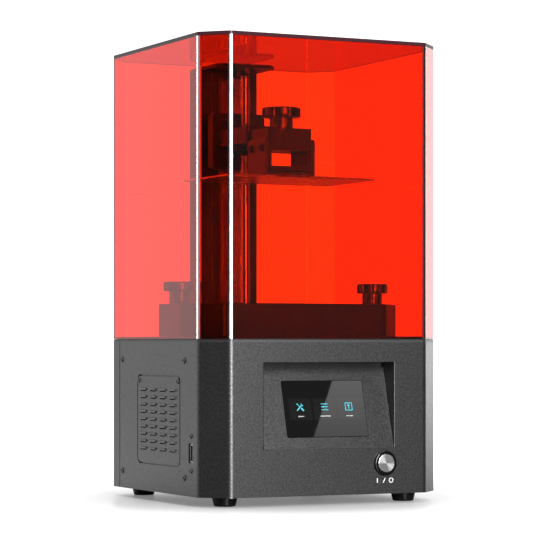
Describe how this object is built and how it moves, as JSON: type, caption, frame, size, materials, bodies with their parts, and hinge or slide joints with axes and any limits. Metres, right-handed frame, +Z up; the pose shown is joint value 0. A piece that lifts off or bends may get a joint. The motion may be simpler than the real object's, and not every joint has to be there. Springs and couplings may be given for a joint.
{
  "type": "resin printer",
  "caption": "Desktop resin 3-D printer: charcoal steel base with touch panel, transparent orange-red lift-off cover, resin vat and a platform on a vertical lead screw.",
  "frame": {"origin": "on the floor under the centre of the footprint", "axes": "+Z up, the front with its touch panel faces -Y, +X to the right seen from the front"},
  "size_m": [0.2234, 0.227, 0.3865],
  "materials": {
    "housing_coat": "fine-textured charcoal powder coat",
    "vent_coat": "fine-textured charcoal powder coat",
    "bottom_steel": "satin black coat",
    "foot_rubber": "matte black rubber",
    "deck_coat": "satin black coat",
    "rim_plastic": "matte black",
    "panel_coat": "fine-textured charcoal coat",
    "recess_plastic": "matte black",
    "screen_glass": "black cover glass with a lit display behind it",
    "display_frame": "matte black",
    "button_plastic": "gloss black",
    "button_metal": "spun brushed face",
    "switch_plastic": "matte black",
    "port_metal": "plated steel",
    "jack_plastic": "matte black",
    "dark_screws": "black oxide",
    "steel_screws": "bright zinc",
    "lcd_frame_coat": "satin black anodised",
    "lcd_glass": "near-black glass",
    "reflector": "bright sheet",
    "led_board": "white solder mask",
    "led_lens": "clear lens",
    "heatsink": "black anodised",
    "pcb": "green solder mask",
    "pcb_parts": "matte black",
    "fan_plastic": "matte black",
    "guard_wire": "bright wire",
    "motor_body": "satin black with ground steel end caps",
    "column_alloy": "black anodised, brushed lengthways",
    "rail_steel": "ground steel",
    "top_plate_coat": "satin black",
    "bearing_steel": "ground steel",
    "screw_steel": "bright rolled thread",
    "coupler_alloy": "turned",
    "limit_plastic": "matte black",
    "arm_alloy": "black anodised",
    "nut_brass": "turned brass",
    "block_alloy": "black anodised",
    "bracket_steel": "satin black",
    "build_alloy": "dark bead-blasted anodised, fine texture",
    "knob_plastic": "fine-textured black",
    "stud_steel": "bright thread",
    "vat_alloy": "black anodised",
    "film_plastic": "clear film",
    "ring_steel": "satin black",
    "cover_acrylic": "transparent orange-red acrylic",
    "cover_top_acrylic": "transparent orange-red acrylic"
  },
  "bodies": {
    "base": {"front_shell": "housing_coat", "rear_shell": "housing_coat", "vent_plate_left": "vent_coat", "vent_plate_right": "vent_coat", "bottom_plate": "bottom_steel", "rubber_feet": "foot_rubber", "foot_screws": "steel_screws", "deck_plate": "deck_coat", "cover_rim": "rim_plastic", "screen_panel": "panel_coat", "screen_recess": "recess_plastic", "touch_glass": "screen_glass", "display_module": "display_frame", "button_ring": "button_plastic", "button_switch": "switch_plastic", "usb_port": "port_metal", "power_jack": "jack_plastic", "housing_screws": "dark_screws", "vent_screws": "dark_screws", "deck_screws": "dark_screws", "lcd_frame": "lcd_frame_coat", "lcd_panel": "lcd_glass", "uv_light_box": "reflector", "uv_led_board": "led_board", "uv_leds": "led_lens", "uv_heatsink": "heatsink", "mainboard": "pcb", "mainboard_parts": "pcb_parts", "fan_frame": "fan_plastic", "fan_guard": "guard_wire", "z_motor": "motor_body", "z_column": "column_alloy", "z_rail": "rail_steel", "top_plate": "top_plate_coat", "top_bearing": "bearing_steel", "limit_switch": "limit_plastic"},
    "cover": {"cover_shell": "cover_acrylic", "cover_top": "cover_top_acrylic"},
    "lead_screw": {"lead_screw": "screw_steel", "shaft_coupler": "coupler_alloy"},
    "carriage": {"carriage_plate": "arm_alloy", "rail_block": "bearing_steel", "platform_arm": "arm_alloy", "drive_nut": "nut_brass", "carriage_screws": "steel_screws"},
    "platform": {"platform_block": "block_alloy", "level_screws": "steel_screws", "level_bracket": "bracket_steel", "build_plate": "build_alloy"},
    "platform_stud": {"platform_stud": "stud_steel"},
    "platform_knob": {"platform_knob": "knob_plastic"},
    "vat": {"vat_tray": "vat_alloy", "vat_film": "film_plastic", "film_ring": "ring_steel"},
    "vat_stud_left": {"vat_stud_left": "stud_steel"},
    "vat_knob_left": {"vat_knob_left": "knob_plastic"},
    "vat_stud_right": {"vat_stud_right": "stud_steel"},
    "vat_knob_right": {"vat_knob_right": "knob_plastic"},
    "button_cap": {"button_cap": "button_metal"},
    "fan_rotor": {"fan_rotor": "fan_plastic"}
  },
  "joints": [
    {"name": "cover_lift", "type": "slide", "parent": "base", "child": "cover", "axis": [0, 0, 1], "range_m": [0, 0.26]},
    {"name": "z_axis", "type": "slide", "parent": "base", "child": "carriage", "axis": [0, 0, 1], "range_m": [-0.133, 0.035]},
    {"name": "lead_screw_spin", "type": "hinge", "parent": "base", "child": "lead_screw", "pos_m": [0, 0.0533, 0.25], "axis": [0, 0, 1], "range_deg": [-12000, 3200]},
    {"name": "platform_release", "type": "slide", "parent": "carriage", "child": "platform", "axis": [0, -1, 0], "range_m": [0, 0.034]},
    {"name": "platform_stud_rise", "type": "slide", "parent": "platform", "child": "platform_stud", "axis": [0, 0, 1], "range_m": [0, 0.0024]},
    {"name": "platform_knob_turn", "type": "hinge", "parent": "platform_stud", "child": "platform_knob", "pos_m": [0, -0.019, 0.326], "axis": [0, 0, 1], "range_deg": [0, 1090]},
    {"name": "vat_slide", "type": "slide", "parent": "base", "child": "vat", "axis": [0, -1, 0], "range_m": [0, 0.039]},
    {"name": "vat_stud_left_rise", "type": "slide", "parent": "base", "child": "vat_stud_left", "axis": [0, 0, 1], "range_m": [0, 0.004]},
    {"name": "vat_knob_left_turn", "type": "hinge", "parent": "vat_stud_left", "child": "vat_knob_left", "pos_m": [-0.091, -0.0145, 0.175], "axis": [0, 0, 1], "range_deg": [0, 1810]},
    {"name": "vat_stud_right_rise", "type": "slide", "parent": "base", "child": "vat_stud_right", "axis": [0, 0, 1], "range_m": [0, 0.004]},
    {"name": "vat_knob_right_turn", "type": "hinge", "parent": "vat_stud_right", "child": "vat_knob_right", "pos_m": [0.091, -0.0145, 0.175], "axis": [0, 0, 1], "range_deg": [0, 1810]},
    {"name": "power_button_press", "type": "slide", "parent": "base", "child": "button_cap", "axis": [0, 1, 0], "range_m": [0, 0.0015], "stiffness_N_per_m": 600, "springref_m": -0.001},
    {"name": "fan_spin", "type": "hinge", "parent": "base", "child": "fan_rotor", "pos_m": [0.045, 0.1, 0.07], "axis": [0, 1, 0], "continuous": true}
  ],
  "couplings": [
    {"joint": "lead_screw_spin", "follows": "z_axis", "rad_per_m": 1570.8},
    {"joint": "platform_knob_turn", "follows": "platform_stud_rise", "rad_per_m": 7854},
    {"joint": "vat_knob_left_turn", "follows": "vat_stud_left_rise", "rad_per_m": 7854},
    {"joint": "vat_knob_right_turn", "follows": "vat_stud_right_rise", "rad_per_m": 7854}
  ]
}
